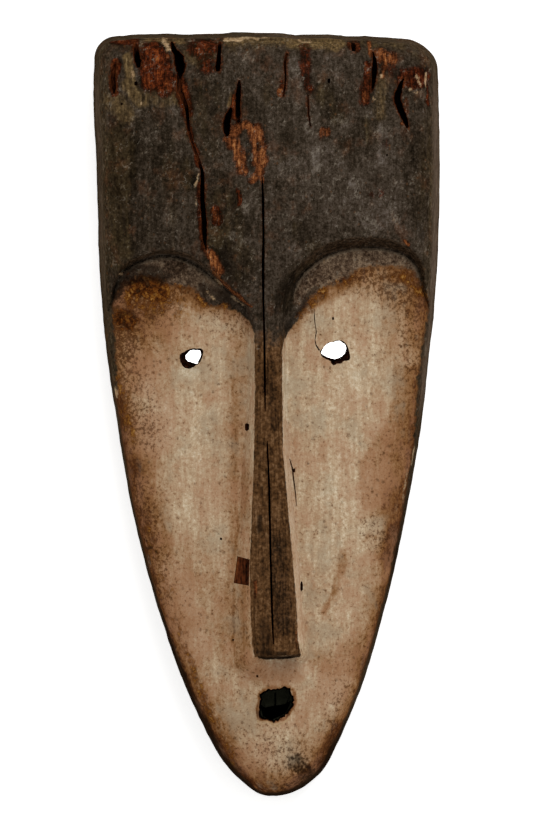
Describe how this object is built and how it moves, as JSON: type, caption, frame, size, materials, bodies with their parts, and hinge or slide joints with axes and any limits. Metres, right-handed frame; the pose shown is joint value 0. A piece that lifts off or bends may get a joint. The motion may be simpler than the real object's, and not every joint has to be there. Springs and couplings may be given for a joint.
{
  "type": "carved wooden face mask",
  "caption": "Long hollow-backed carved wooden face mask with a flat-topped forehead, brow arches, narrow ridge nose, pierced eyes and pointed chin.",
  "frame": {"origin": "middle of the footprint, on the plane of the back rim that the mask lies on", "axes": "+Z out of the face, +Y towards the top of the forehead, +X towards the right side of the face as a viewer sees it"},
  "size_m": [0.1361, 0.3, 0.0496],
  "materials": {
    "carved_wood": "dark stained wood with a worn pale clay coat over the face, matt"
  },
  "bodies": {
    "root": {"mask": "carved_wood"}
  },
  "joints": []
}
